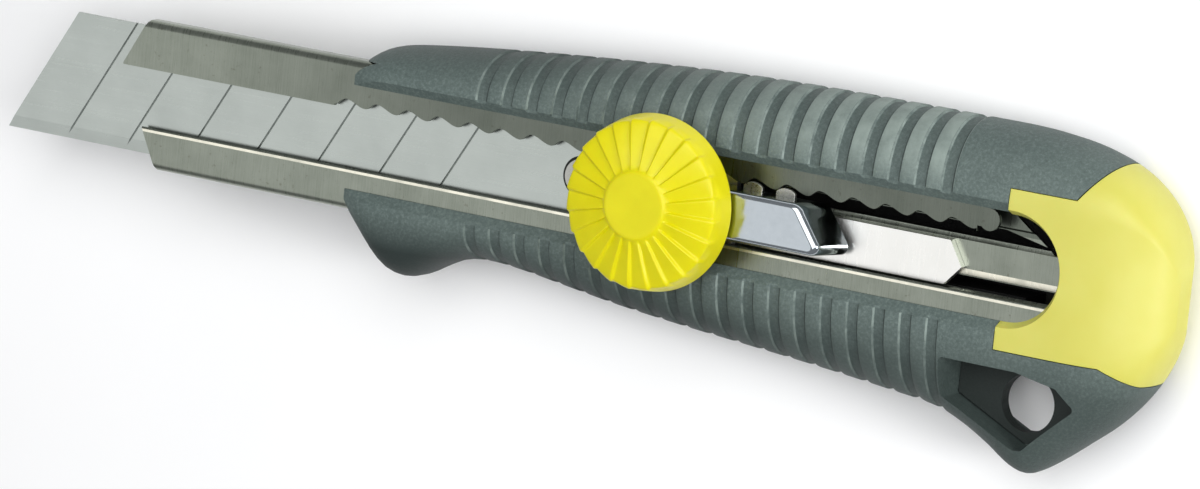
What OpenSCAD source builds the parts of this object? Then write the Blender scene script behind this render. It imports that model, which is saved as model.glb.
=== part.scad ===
// Snap-off utility knife: a wide segmented blade in a folded steel rail, held by
// a two-shell moulded handle with a pull-off end cap, and locked by a screw-down
// thumb wheel.  The knife lies on its flat back.  Inside the modules, X runs from
// the tip of the blade to the tail, Y from the cutting edge to the spine and Z
// up from the back face; place() then moves the origin to the flat back face,
// under the axis of the thumb wheel.

/* [Blade] */
// Width from the cutting edge to the back of the blade
blade_w = 18; // [17.8:0.05:18.1]
// Length from the tip to the tail
blade_len = 100; // [99:0.5:101]
// Thickness of the steel
blade_t = 0.5; // [0.4:0.05:0.6]
// Distance between the snap-off score lines
segment_pitch = 10; // [9.5:0.5:10.5]
// Number of score lines
score_count = 7; // [6:1:8]
// Angle of the tip and the score lines to the cutting edge
score_angle = 60; // [58:1:62]

/* [Handle] */
// Thickness from the flat back to the front face
handle_h = 16.4; // [16.2:0.1:17]
// Depth of the grip grooves
groove_d = 0.3; // [0.2:0.05:0.4]
// Width of one grip groove
groove_w = 1.9; // [1.5:0.1:2.2]
// Distance between grip grooves
groove_pitch = 4; // [3.9:0.05:4]
// Number of grip grooves
groove_count = 19; // [12:1:19]
// Radius of the lanyard hole
lanyard_r = 3.9; // [3.5:0.1:4]

/* [Rail] */
// Outer width of the blade rail
rail_w = 20.8; // [20.7:0.05:20.9]
// Thickness of the rail's steel sheet
rail_t = 0.6; // [0.5:0.05:0.6]
// Pitch of the locking notches
notch_pitch = 5; // [4.9:0.05:5]

/* [Thumb wheel] */
// Outer radius of the wheel
wheel_r = 12; // [11:0.1:12]
// Number of grip flutes on the wheel
flute_count = 24; // [18:1:30]
// Thread pitch of the clamp stud, which the wheel descends in one turn
thread_pitch = 0.7; // [0.6:0.05:0.7]

/* [Hidden] */
$fn = 64;
eps = 0.01;
big = 60;

// Levels along Z
mid_z = handle_h / 2;                     // parting plane of the two shells
blade_top = handle_h - 2.4;
blade_bottom = blade_top - blade_t;
rail_top = blade_top + 1.1;               // top face of the rail's lips
rail_bottom = rail_top - 3.4;
floor_top = rail_bottom + rail_t;
lip_bottom = rail_top - rail_t;
carrier_bottom = floor_top + 0.05;
carrier_top = blade_bottom - 0.05;
deck_top = blade_top + 5.6;               // top of the lock plate, wheel loosened
wheel_bottom = deck_top + 0.38;

// Places along X and Y
wheel_x = 109.3;
rail_y = blade_w / 2 - 0.5;               // centre line of the rail
rail_y0 = rail_y - rail_w / 2;
rail_y1 = rail_y + rail_w / 2;
lip_y0 = 3.9;                             // edge of the lower lip
lip_y1 = 12.15;                           // edge of the upper lip
peg_x = 94.2;
peg_y = 8.8;
hole_x = 162.5;
hole_y = -10.3;
lug_back_z = 4;                           // back face of the lug round the hole
slot_y0 = 1.0;                            // handle slot over the rail
slot_y1 = 15.5;
cap_y0 = -2.65;                           // lower and upper edge of the cap's arms
cap_y1 = 18.75;
cap_x0 = 160.1;                           // front end of the cap's arms
nose_x = 57.5;
tail_x = 183;
groove_x0 = 77.8;
rail_end = 172;
track_y0 = 6.35;                          // raised track of the rail's floor
track_y1 = 10.2;
track_drop = 0.3;                         // depth of the floor beside the track
fit = 0.12;                               // gap between the cap and the shells

// Outline of the handle on the parting plane: the spine and the belly
SPINE = [[57.5, 17.5], [57.7, 18.7], [58.3, 19.6], [59.6, 20.5], [62, 21.2],
         [66, 21.8], [72, 22.5], [78, 23.1], [88, 24.0], [100, 24.9], [112, 25.6],
         [124, 26.0], [140, 26.2], [152, 26.2], [160, 26.1], [166, 25.5],
         [169, 24.9], [172, 24.0]];
BELLY = [[57.5, -1.2], [58.2, -3.0], [60, -5.6], [62, -8.2], [63.6, -9.7],
         [65.2, -10.3], [66.8, -10.3], [68.5, -9.7], [70.5, -8.5], [73, -7.2],
         [76, -6.3], [80, -6.0], [85, -6.4], [92, -7.4], [100, -8.5], [110, -9.5],
         [120, -10.3], [132, -11.3], [144, -12.5], [150, -13.2], [154, -14.7],
         [158, -16.9], [161, -18.9], [163, -19.6], [164.6, -19.3], [168, -17.1],
         [172, -13.9]];

// Smooth curve through a list of points, read as a height at x
function slope(p, i) = let (a = max(i - 1, 0), b = min(i + 1, len(p) - 1))
    (p[b][1] - p[a][1]) / (p[b][0] - p[a][0]);
function span(p, x, i = 0) = i >= len(p) - 2 || x < p[i + 1][0] ? i : span(p, x, i + 1);
function curve(p, x) = let (
        i = span(p, x), h = p[i + 1][0] - p[i][0],
        t = max(0, min(1, (x - p[i][0]) / h)), s = t * t * (3 - 2 * t))
    p[i][1] * (1 - s) + p[i + 1][1] * s
    + h * t * (1 - t) * ((1 - t) * slope(p, i) - t * slope(p, i + 1));

// The cross-section shrinks to a blunt point at the tail and tapers at the nose
function fade(x, from, power) = x <= from ? 1
    : pow(max(0, 1 - pow((x - from) / (tail_x - from), power)), 1 / power);
function front_depth(x) = mid_z * fade(x, 167, 2.3)
    - (x < 63.5 ? 1.3 * pow((63.5 - x) / 6, 2) : 0);
function back_depth(x) = x < 82 ? 1.0 + (mid_z - 1.0) * sin(90 * (x - nose_x) / (82 - nose_x))
    : mid_z * fade(x, 167, 2.3);
function face_y1(x) = 7 + 9.8 * fade(x, 172, 2.4);
function face_y0(x) = 5 - 5.3 * fade(x, 172, 2.4);
function round_off(x) = pow(min(1, (tail_x - x) / (tail_x - 172)), 0.61);
function spine(x) = face_y1(x) + (curve(SPINE, min(x, 172)) - 16.8) * round_off(x);
function belly(x) = face_y0(x) + (curve(BELLY, min(x, 172)) + 0.3) * round_off(x);
function belly_power(x) = x < 76 ? 2.7 : x < 148 ? 2.1 : 2.3;

// Half a ring of the handle's section: spine, face, belly.  sink is the depth of a
// groove, which runs out towards the flat back but crosses the front face.
ring_steps = 9;
function quarter(face, edge, depth, power, sink, fades) = [for (i = [0 : ring_steps])
    let (a = 90 * i / ring_steps, k = sink * (fades ? min(1, (90 - a) / 45) : 1))
    [face + (edge - face - sign(edge - face) * k) * pow(cos(a), 2 / power),
     (depth - k) * pow(sin(a), 2 / power)]];
function half_ring(x, sink, side) = let (
        depth = side > 0 ? front_depth(x) : back_depth(x),
        up = quarter(face_y1(x), spine(x), depth, 2.1, sink, side < 0),
        down = quarter(face_y0(x), belly(x), depth, belly_power(x), sink, side < 0))
    [for (p = up) [x, p[0], mid_z + side * p[1]],
     for (i = [ring_steps : -1 : 0]) [x, down[i][0], mid_z + side * down[i][1]]];
function reverse(v) = [for (i = [len(v) - 1 : -1 : 0]) v[i]];

// Stations [x, sink] of the loft, with four to each groove
NOSE = [for (x = [57.5, 57.7, 58.2, 59.2, 60.8, 62.6, 64.4, 66, 67.6, 69.4, 72, 75]) [x, 0]];
GROOVES = [for (i = [0 : groove_count - 1]) let (x = groove_x0 + i * groove_pitch)
    each [[x, 0], [x + 0.15, groove_d], [x + groove_w - 0.15, groove_d], [x + groove_w, 0]]];
TAIL = [for (x = [153.4, 155.5, 157.4, 159.1, 161.3, 163, 164.6, 166.4, 168.4, 170.4,
                  172.4, 174.4, 176.2, 178, 179.5, 180.8, 181.8, 182.5, 182.85]) [x, 0]];

// Loft through closed rings with the same number of points
module loft(rings) {
    n = len(rings[0]);
    m = len(rings);
    polyhedron(
        points = [for (r = rings) each r],
        faces = [
            [for (j = [n - 1 : -1 : 0]) j],
            [for (j = [0 : n - 1]) (m - 1) * n + j],
            for (i = [0 : m - 2], j = [0 : n - 1])
                let (k = (j + 1) % n, a = i * n, b = a + n)
                each [[a + j, a + k, b + j], [a + k, b + k, b + j]]]);
}

module front_half(stations) {
    loft([for (s = stations) reverse(half_ring(s[0], s[1], 1))]);
}

module rear_half(stations) {
    loft([for (s = stations) half_ring(s[0], s[1], -1)]);
}

module whole(stations) {
    loft([for (s = stations) concat(reverse(half_ring(s[0], s[1], 1)),
        [for (i = [1 : 2 * ring_steps]) half_ring(s[0], s[1], -1)[i]])]);
}

module place() {
    translate([-wheel_x, -rail_y, 0]) children();
}

module slab(x0, x1, y0, y1, z0, z1) {
    translate([x0, y0, z0]) cube([x1 - x0, y1 - y0, z1 - z0]);
}

module along_x(x0, x1) {
    translate([x0, 0, 0]) rotate([90, 0, 90]) linear_extrude(x1 - x0) children();
}

module upright(z0, z1) {
    translate([0, 0, z0]) linear_extrude(z1 - z0) children();
}

module rod(x, y, r, z0, z1) {
    translate([x, y, z0]) cylinder(r = r, h = z1 - z0);
}

module rounded_rect(x0, x1, y0, y1, r) {
    translate([x0 + r, y0]) square([x1 - x0 - 2 * r, y1 - y0]);
    translate([x0, y0 + r]) square([x1 - x0, y1 - y0 - 2 * r]);
    for (x = [x0 + r, x1 - r], y = [y0 + r, y1 - r]) translate([x, y]) circle(r);
}

// Region of the end cap seen from the front, grown by g
module cap_outline(g) {
    polygon([[cap_x0 - g, cap_y0 - g], [175, cap_y0 - g], [179.6, -4.65 - g],
             [tail_x + 9, -4.8 - g], [tail_x + 9, 29.8], [177.6 - g, 29.8],
             [169.8 - g, cap_y1 + g], [cap_x0 - g, cap_y1 + g]]);
}

// Channel for the rail, larger than it by g
module rail_space(x0, x1, g) {
    slab(x0, x1, rail_y0 - g, rail_y1 + g, rail_bottom - g, rail_top + 0.02);
}

module slot_section() {
    polygon([[slot_y0, rail_top - 1], [slot_y0, rail_top + 0.15], [-0.3, handle_h],
             [-1.9, handle_h + 2], [18.4, handle_h + 2], [16.8, handle_h],
             [slot_y1, rail_top + 0.15], [slot_y1, rail_top - 1]]);
}

// Core that keeps a thick cheek of the handle to an even wall
module cheek_core(x0, x1, y0, y1) {
    rounded_rect(x0, x1, y0, y1, 1.2);
}

// Pocket beside the lanyard hole, the same on both faces of the lug
module lug_pocket(g) {
    polygon([[152.0 + g, -5.1 - g], [163.5, -5.1 - g], [169.5 - g, -6.3 - g],
             [172.1 - g, -8.9], [167.1, -13.3 + g], [164.3, -15.9 + g],
             [163.1, -16.0 + g], [152.0 + g, -10.7 + g]]);
}

// Place of each screw and the level of the underside of its head
SCREWS = [[66.6, -5.4, 5.2], [97, 21.6, 3.4], [138, -6.6, 3.4], [157, 22.4, 3.4]];
head_h = 1.7;

// Front half of the handle, which the rail's slot divides into two grips
module front_grip(y0, y1) {
    color("#5B6968")
    difference() {
        front_half(concat(NOSE, GROOVES, TAIL));
        slab(50, tail_x + 5, y0, y1, mid_z - 1, big);
        along_x(50, tail_x + 5) slot_section();
        rail_space(50, tail_x + 5, 0.06);
        slab(50, tail_x + 5, rail_y0 - 0.06, rail_y1 + 0.06, mid_z - 1, rail_bottom);
        upright(mid_z - 1, big) cap_outline(fit);
        upright(mid_z - 1, big) lug_pocket(0);
        // cores in the thick cheeks
        upright(mid_z - 1, mid_z + 3.6) cheek_core(104, 153, 20.6, 23.4);
        upright(mid_z - 1, mid_z + 3.6) cheek_core(104, 131, -7.6, -3.8);
        for (s = SCREWS) rod(s[0], s[1], 1.1, mid_z - 1, mid_z + 3.8);
    }
}

module upper_grip() {
    front_grip(-big, rail_y);
}

module lower_grip() {
    front_grip(rail_y, big);
}

module rear_shell() {
    color("#536160")
    difference() {
        union() {
            rear_half(concat(NOSE, GROOVES, TAIL));
            // seats that carry the floor of the rail
            slab(nose_x + 0.6, 66, rail_y0 + 0.1, rail_y1 - 0.1, mid_z - 1, rail_bottom - 0.02);
            for (x = [84 : 18 : 156]) slab(x, x + 3, rail_y0 + 0.1, rail_y1 - 0.1,
                mid_z - 1, rail_bottom - 0.02);
            // web that carries the lanyard hole
            upright(mid_z - 1, mid_z + 1) lug_pocket(0.1);
        }
        for (x = [69 : 18 : 141])
            slab(x, x + 15, 0.4, 16.4, x < 80 ? 6.4 : 2.4, mid_z + 1);
        // trench under the slots of the rail's floor
        slab(67, 83 + eps, 3.3, 13.1, 6.4, rail_bottom + 1);
        slab(83, 175, 3.3, 13.1, 2.4, rail_bottom + 1);
        upright(2.6, mid_z + 1) cheek_core(104, 153, 20.6, 23.2);
        upright(2.6, mid_z + 1) cheek_core(104, 131, -7.4, -3.8);
        upright(-1, mid_z - 1) lug_pocket(0);
        // the lug is thinner than the handle at the back
        upright(-1, lug_back_z) polygon([[149, -30], [190, -30], [190, -4.9], [152, -4.9]]);
        rod(hole_x, hole_y, lanyard_r, 0, mid_z + 2);
        upright(-1, big) cap_outline(fit);
        for (s = SCREWS) {
            rod(s[0], s[1], 2.4, -1, s[2] + head_h);
            rod(s[0], s[1], 1.4, -1, mid_z + 1);
        }
    }
}

module handle_screws() {
    color("#8A8C88")
    for (s = SCREWS) difference() {
        union() {
            rod(s[0], s[1], 2.2, s[2], s[2] + head_h);
            rod(s[0], s[1], 1.25, s[2] + head_h, mid_z + 3.6);
        }
        for (a = [0, 90]) translate([s[0], s[1], s[2] - eps]) rotate(a)
            translate([-1.3, -0.25, 0]) cube([2.6, 0.5, 1]);
    }
}

module end_cap() {
    arc_x = 160.8;
    arc_y = 8.15;
    arc_r = 7.1;
    color("#E8E24A")
    difference() {
        intersection() {
            whole([for (s = TAIL) if (s[0] > 157) s]);
            upright(-1, big) cap_outline(0);
        }
        // rounded end of the slot, chamfered at the front face
        rod(arc_x, arc_y, arc_r, rail_bottom, rail_top + 0.1);
        translate([arc_x, arc_y, rail_top]) cylinder(r1 = arc_r, r2 = arc_r + 0.7, h = handle_h - rail_top + eps);
        rod(arc_x, arc_y, arc_r + 0.7, handle_h, handle_h + 2);
        slab(150, arc_x, arc_y - arc_r, arc_y + arc_r, rail_bottom, rail_top + 0.1);
        along_x(150, arc_x) polygon([[arc_y - arc_r, rail_top], [arc_y + arc_r, rail_top],
            [arc_y + arc_r + 0.7, handle_h], [arc_y + arc_r + 0.7, handle_h + 2],
            [arc_y - arc_r - 0.7, handle_h + 2], [arc_y - arc_r - 0.7, handle_h]]);
        // channel that slides over the rail, then room for the carrier
        rail_space(150, 172.3, 0.06);
        slab(150, 178.6, 3.2, 10.8, carrier_bottom - 0.3, carrier_top + 0.3);
        // core under and behind the rail
        slab(150, rail_end + 0.3, 1.4, 15, 2.6, rail_bottom);
        slab(150, 176, 1.4, 15, 2.6, 9.6);
    }
}

// Height of the wavy edge of the upper lip at x: tips low, notches high
wave_tip = lip_y1 + 0.25;
wave_notch = lip_y1 + 1.2;
notch_x0 = 56.4;                          // deepest point of the first notch
wave_x1 = 155.2;
function wave(x) = let (
        p = (x - notch_x0) / notch_pitch, s = p - floor(p),
        c = s < 0.65 ? cos(180 * s / 0.65) : -cos(180 * (s - 0.65) / 0.35))
    wave_tip + (wave_notch - wave_tip) * (1 + c) / 2;
wave_step = notch_pitch / 10;

module rail_section() {
    difference() {
        rounded_rect(rail_y0, rail_y1, rail_bottom, rail_top, 1.1);
        rounded_rect(rail_y0 + rail_t, rail_y1 - rail_t, floor_top, lip_bottom, 0.5);
        translate([lip_y0, lip_bottom - 0.5]) square([lip_y1 - lip_y0, 2]);
        polygon([[3.3, floor_top + eps], [3.6, floor_top - track_drop],
                 [track_y0 - 0.8, floor_top - track_drop], [track_y0, floor_top + eps]]);
        polygon([[track_y1, floor_top + eps], [track_y1 + 0.5, floor_top - track_drop],
                 [12.6, floor_top - track_drop], [12.9, floor_top + eps]]);
    }
}

module blade_rail() {
    nub_x = 156.9;      // rounded end of the notched lip
    nub_y = 13.95;
    nub_r = 1.5;
    tail_open = 17;     // the lip is open up to here behind its rounded end
    color("#A8AA9E")
    difference() {
        along_x(19, rail_end) rail_section();
        // slanted mouth
        upright(rail_bottom - 1, rail_top + 1) polygon([[10, 25], [23.9, 20.8], [19.3, 12.4],
            [19.4, 11.9], [23.4, 3.6], [26.6, -2.8], [10, -5]]);
        // locking notches along the upper lip
        upright(floor_top + 0.5, rail_top + 1) polygon(concat(
            [[notch_x0 - 1.8, lip_y1 - 1]],
            [for (x = [notch_x0 - 1.75 : wave_step : wave_x1]) [x, wave(x)]],
            [[wave_x1, lip_y1 - 1]]));
        // open tail where the blade is loaded
        upright(floor_top + 0.5, rail_top + 1) difference() {
            union() {
                translate([nub_x, lip_y1 - 1]) square([rail_end, tail_open - lip_y1 + 1]);
                translate([wave_x1, lip_y1 - 1]) square([nub_x - wave_x1 + 1, 1.75]);
            }
            translate([nub_x, nub_y]) circle(nub_r);
        }
        // slanted corner at the tail
        upright(rail_bottom - 1, rail_top + 1) polygon([[159.4, 14.7], [165.5, 10.3],
            [rail_end + 1, 10.3], [rail_end + 1, 25], [159.4, 25]]);
        // relief slots beside the raised track of the floor
        upright(rail_bottom - 1, floor_top + 0.2) {
            rounded_rect(60, 170, 3.7, 5.45, 0.8);
            polygon([[60.8, 10.8], [165, 10.8], [165, 11.05], [158, 12.5], [60.8, 12.5],
                     [60, 11.7], [60, 11.6]]);
        }
    }
}

module blade() {
    tip_run = blade_w / tan(score_angle);
    bevel = 1.7;
    color("#B9C1BD")
    difference() {
        intersection() {
            along_x(0, blade_len) polygon([[0, (blade_top + blade_bottom) / 2 - 0.03],
                [bevel, blade_bottom], [blade_w, blade_bottom], [blade_w, blade_top],
                [bevel, blade_top], [0, (blade_top + blade_bottom) / 2 + 0.03]]);
            upright(blade_bottom - 1, blade_top + 1) polygon([[0, -eps],
                [blade_len - 1.5, -eps], [blade_len, 1.5], [blade_len, blade_w - 3],
                [blade_len - 3, blade_w + eps], [tip_run, blade_w + eps]]);
        }
        for (i = [1 : score_count])
            translate([i * segment_pitch, 0, blade_top]) rotate(score_angle)
                rotate([45, 0, 0]) translate([-5, -0.1, -0.1]) cube([35, 0.2, 0.2]);
        rod(peg_x, peg_y, 2.5, blade_bottom - 1, blade_top + 1);
    }
}

module blade_carrier() {
    color("#D9D8CE")
    difference() {
        upright(carrier_bottom, carrier_top) {
            rounded_rect(87, 118, rail_y0 + rail_t + 0.3, rail_y1 - rail_t - 0.3, 1.0);
            polygon([[117, 4.0], [150.3, 4.0], [152.7, 6.65], [150.7, 10.0], [117, 10.0]]);
        }
        rod(peg_x, peg_y, 1.6, 0, big);
        rod(wheel_x, rail_y, 1.8, 0, big);
    }
}

module blade_peg() {
    color("#9FA29B") {
        rod(peg_x, peg_y, 1.6, carrier_bottom, carrier_top + eps);
        rod(peg_x, peg_y, 2.4, carrier_top, blade_top + 0.3);
    }
}

stud_r = 2;
clip_z = wheel_bottom + 3.5;

module clamp_stud() {
    color("#C9C9C4")
    difference() {
        union() {
            rod(wheel_x, rail_y, 1.8, carrier_bottom, carrier_top + eps);
            rod(wheel_x, rail_y, 2.2, carrier_top, carrier_top + 0.7);
            rod(wheel_x, rail_y, stud_r, carrier_top + 0.5, clip_z + 0.6);
        }
        translate([wheel_x, rail_y, clip_z]) difference() {
            cylinder(r = 3, h = 0.4);
            translate([0, 0, -1]) cylinder(r = stud_r - 0.4, h = 3);
        }
    }
}

deck_x0 = 101.5;
deck_y0 = 5.3;
deck_y1 = 11.85;
deck_t = 0.8;
deck_r = 1.2;                             // corner radius in plan
deck_x1 = 132.8;                          // corners of the slanted tail
deck_x2 = 129.4;
deck_r2 = 2;                              // radius of the upper one
deck_slope = 2.3;                         // the tail wall leans out to its foot
comb_z = rail_top + 0.1;
comb_t = 0.6;

// Plan of the lock plate, slanted at the tail, shrunk by g and longer by more
module deck_plan(g, more) {
    hull() {
        for (p = [[deck_x0 + deck_r, deck_y0 + deck_r], [deck_x0 + deck_r, deck_y1 - deck_r],
                  [deck_x1 + more, deck_y0 + deck_r]])
            translate(p) circle(deck_r - g, $fn = 32);
        translate([deck_x2 + more, deck_y1 - deck_r2]) circle(deck_r2 - g, $fn = 32);
    }
}

// The plan from level z0 up to z1, leaning out towards z0
module deck_block(g, z0, z1) {
    lean = deck_slope / (deck_top - blade_top);
    hull() {
        upright(z0, z0 + eps) deck_plan(g, lean * (deck_top - z0));
        upright(z1 - eps, z1) deck_plan(g, lean * (deck_top - z1));
    }
}

module lock_plate() {
    color("#C4C8C8")
    difference() {
        deck_block(0, blade_top + 0.3, deck_top);
        deck_block(deck_t, blade_top - 1, deck_top - deck_t);
        rod(wheel_x, rail_y, stud_r + 0.06, 0, big);
        for (x = COMB_X) slab(x - 1.55, x + 1.55, deck_y1 - 2, deck_y1 + 1,
            comb_z - 0.05, comb_z + comb_t + 0.05);
    }
}

// Teeth of the comb sit over the notches of the rail
COMB_X = [for (i = [13, 14]) notch_x0 + i * notch_pitch + 0.3];

module lock_comb() {
    color("#8F918A")
    upright(comb_z, comb_z + comb_t) {
        translate([117.4, deck_y1 - deck_t - 1.3]) square([10.6, 1.2]);
        for (x = COMB_X) {
            translate([x - 1.45, deck_y1 - deck_t - 0.9]) square([2.9, 1.2]);
            intersection() {
                translate([x - 1.45, deck_y1 - deck_t]) square([2.9, 4]);
                translate([x, deck_y1 - 0.9]) circle(2.05);
            }
        }
    }
}

spring_z0 = carrier_top + 0.02;

module lock_spring() {
    rise = deck_top - deck_t - spring_z0 - 0.02;
    strip = 0.3;
    chord = 14;
    r = (rise * rise + chord * chord / 4) / (2 * rise);
    color("#7E8284")
    translate([0, 9.7, 0]) rotate([90, 0, 0]) linear_extrude(3.2) intersection() {
        translate([121.2, spring_z0 + rise - r]) difference() {
            circle(r);
            circle(r - strip);
        }
        translate([110, spring_z0]) square([22, rise + 1]);
    }
}

module thrust_washer() {
    color("#B7A66A")
    difference() {
        rod(wheel_x, rail_y, 3.2, deck_top, wheel_bottom - 0.03);
        rod(wheel_x, rail_y, stud_r + 0.12, 0, big);
    }
}

nut_h = 3.4;
nut_r = 4.2;

module thumb_wheel() {
    rim_h = 4;          // top of the skirt
    dome_h = 5.62;      // top of the smooth centre disc
    disc_r = 4.7;
    draft = 0.45;       // the skirt narrows by this much towards the top
    color("#F0E212")
    difference() {
        translate([wheel_x, rail_y, wheel_bottom]) rotate_extrude($fn = 96)
            polygon([[0, 0], [wheel_r - 0.4, 0], [wheel_r, 0.4],
                [wheel_r - draft, rim_h - 0.3], [wheel_r - draft - 0.4, rim_h],
                [9.2, 4.65], [6.8, 5.1], [disc_r + 0.2, 5.35],
                [disc_r, dome_h - 0.15], [disc_r - 0.3, dome_h], [0, dome_h]]);
        // saw-tooth notches round the front edge
        for (i = [0 : flute_count - 1])
            translate([wheel_x, rail_y, wheel_bottom]) rotate(i * 360 / flute_count)
                translate([wheel_r + 0.25, 0, rim_h + 0.5]) rotate([0, 20, 0]) rotate([0, 0, 30])
                    cube([1.6, 1.6, 3], center = true);
        rod(wheel_x, rail_y, nut_r, wheel_bottom - 1, wheel_bottom + nut_h);
        rod(wheel_x, rail_y, 3.3, wheel_bottom, wheel_bottom + dome_h - 0.7);
    }
}

module wheel_nut() {
    color("#C3A95B")
    difference() {
        rod(wheel_x, rail_y, nut_r, wheel_bottom, wheel_bottom + nut_h);
        rod(wheel_x, rail_y, stud_r + 0.05, 0, big);
        for (i = [0 : 11]) translate([wheel_x, rail_y, wheel_bottom + 0.8]) rotate(i * 30)
            translate([nut_r - 0.2, -0.3, 0]) cube([1, 0.6, nut_h - 1.6]);
    }
}

module retaining_clip() {
    color("#6F7376")
    difference() {
        rod(wheel_x, rail_y, 3.0, clip_z + 0.02, clip_z + 0.38);
        rod(wheel_x, rail_y, stud_r - 0.38, 0, big);
        slab(wheel_x, wheel_x + 4, rail_y - 1.3, rail_y + 1.3, clip_z - 1, clip_z + 2);
    }
}

place() upper_grip();
place() lower_grip();
place() rear_shell();
place() handle_screws();
place() end_cap();
place() blade_rail();
place() blade();
place() blade_carrier();
place() blade_peg();
place() clamp_stud();
place() lock_plate();
place() lock_comb();
place() lock_spring();
place() thrust_washer();
place() thumb_wheel();
place() wheel_nut();
place() retaining_clip();
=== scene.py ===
"""Snap-off utility knife: the looks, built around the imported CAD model.

Outlines are given in blade coordinates, in millimetres: u runs from the blade's tip
to the tail, v from the cutting edge to the spine, and z up from the flat back. The
frame says where that tip and edge are, so the pieces land on the CAD.
"""

import math

import bmesh
import bpy
import numpy as np
from mathutils import Matrix, Vector

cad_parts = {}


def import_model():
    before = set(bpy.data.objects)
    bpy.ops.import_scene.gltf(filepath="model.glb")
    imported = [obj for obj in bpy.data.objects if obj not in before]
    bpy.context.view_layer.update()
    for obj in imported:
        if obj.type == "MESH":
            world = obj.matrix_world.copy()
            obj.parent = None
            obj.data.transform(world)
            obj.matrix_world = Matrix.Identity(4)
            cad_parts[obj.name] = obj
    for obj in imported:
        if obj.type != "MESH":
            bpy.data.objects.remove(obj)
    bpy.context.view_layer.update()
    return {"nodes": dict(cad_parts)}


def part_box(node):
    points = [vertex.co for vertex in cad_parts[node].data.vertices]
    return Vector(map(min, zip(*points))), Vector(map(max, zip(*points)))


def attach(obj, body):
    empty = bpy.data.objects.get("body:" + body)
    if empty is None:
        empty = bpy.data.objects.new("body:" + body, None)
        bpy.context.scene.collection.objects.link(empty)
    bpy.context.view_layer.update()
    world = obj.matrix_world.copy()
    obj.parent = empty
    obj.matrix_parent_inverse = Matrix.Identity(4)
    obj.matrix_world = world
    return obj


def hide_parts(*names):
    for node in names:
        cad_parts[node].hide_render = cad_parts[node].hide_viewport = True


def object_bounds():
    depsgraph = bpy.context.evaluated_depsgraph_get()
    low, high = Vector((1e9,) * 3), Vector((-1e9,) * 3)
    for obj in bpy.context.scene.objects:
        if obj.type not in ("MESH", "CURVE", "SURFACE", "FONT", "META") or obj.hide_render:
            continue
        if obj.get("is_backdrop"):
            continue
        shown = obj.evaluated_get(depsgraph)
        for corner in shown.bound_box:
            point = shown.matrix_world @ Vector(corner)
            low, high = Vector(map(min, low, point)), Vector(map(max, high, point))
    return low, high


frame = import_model()

MM = 0.001


def lowest(node):
    """Lowest corner of a node's box, in millimetres."""
    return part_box(node)[0] / MM


def highest(node):
    """Highest corner of a node's box, in millimetres."""
    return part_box(node)[1] / MM


# ---------------------------------------------------------------- places and levels
TIP_X = lowest("blade").x
EDGE_Y = lowest("blade").y
HANDLE_H = highest("upper_grip").z
MID_Z = HANDLE_H / 2
BLADE_TOP = highest("blade").z
RAIL_BOTTOM = lowest("blade_rail").z
RAIL_TOP = highest("blade_rail").z
RAIL_V0 = lowest("blade_rail").y - EDGE_Y
RAIL_V1 = highest("blade_rail").y - EDGE_Y
RAIL_T = 0.6                        # the rail's sheet
FLOOR_TOP = RAIL_BOTTOM + RAIL_T
LIP_V0, LIP_V1 = 3.9, 12.15         # edges of the rail's lower and notched lip
DECK_BOTTOM = lowest("lock_plate").z
DECK_TOP = highest("lock_plate").z
WHEEL_U = -TIP_X
WHEEL_V = -EDGE_Y
WHEEL_BOTTOM = lowest("thumb_wheel").z
WHEEL_TOP = highest("thumb_wheel").z
WHEEL_R = highest("thumb_wheel").x
TAIL_U = 183.0
FACE_V0, FACE_V1 = -0.3, 16.8       # edges of the handle's flat front
FACE_MID = (FACE_V0 + FACE_V1) / 2
GAP = 0.12                          # between the end cap and the shells
PLAY = 0.06                         # round the rail in its seat
ALONG = 40, 200                     # u of a cutter that is longer than the handle
BEHIND, BEFORE = -20, 60            # levels clear of the back and of the front

# The handle's outline on the parting plane
SPINE = [(57.5, 17.5), (57.7, 18.7), (58.3, 19.6), (59.6, 20.5), (62, 21.2), (66, 21.8),
         (72, 22.5), (78, 23.1), (88, 24.0), (100, 24.9), (112, 25.6), (124, 26.0),
         (140, 26.2), (152, 26.2), (160, 26.1), (166, 25.5), (169, 24.9), (172, 24.0)]
BELLY = [(57.5, -1.2), (58.2, -3.0), (60, -5.6), (62, -8.2), (63.6, -9.7), (65.2, -10.3),
         (66.8, -10.3), (68.5, -9.7), (70.5, -8.5), (73, -7.2), (76, -6.3), (80, -6.0),
         (85, -6.4), (92, -7.4), (100, -8.5), (110, -9.5), (120, -10.3), (132, -11.3),
         (144, -12.5), (150, -13.2), (154, -14.7), (158, -16.9), (161, -18.9),
         (163, -19.6), (164.6, -19.3), (168, -17.1), (172, -13.9)]
GROOVE_U0, GROOVE_PITCH, GROOVE_W, GROOVE_D, GROOVES = 77.8, 4.0, 1.9, 0.3, 19
HOLE_U, HOLE_V, HOLE_R = 162.5, -10.3, 3.9      # the lanyard hole
WEB = 1.0                           # half the thickness of the web round that hole
LUG_BACK = [(149, -30), (190, -30), (190, -4.9), (152, -4.9)]   # thinner behind the lug
LUG_BACK_Z = 4.0
TRENCH = [((67, 83.02), 6.4), ((83, 175), 2.4)]     # (u from, to), floor: under the rail
TRENCH_V = 3.3, 13.1
# u, v and seat of each screw
SCREWS = [(66.6, -5.4, 5.2), (97, 21.6, 3.4), (138, -6.6, 3.4), (157, 22.4, 3.4)]
SCREW_WELL_R, SCREW_HEAD = 2.4, 1.7


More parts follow.
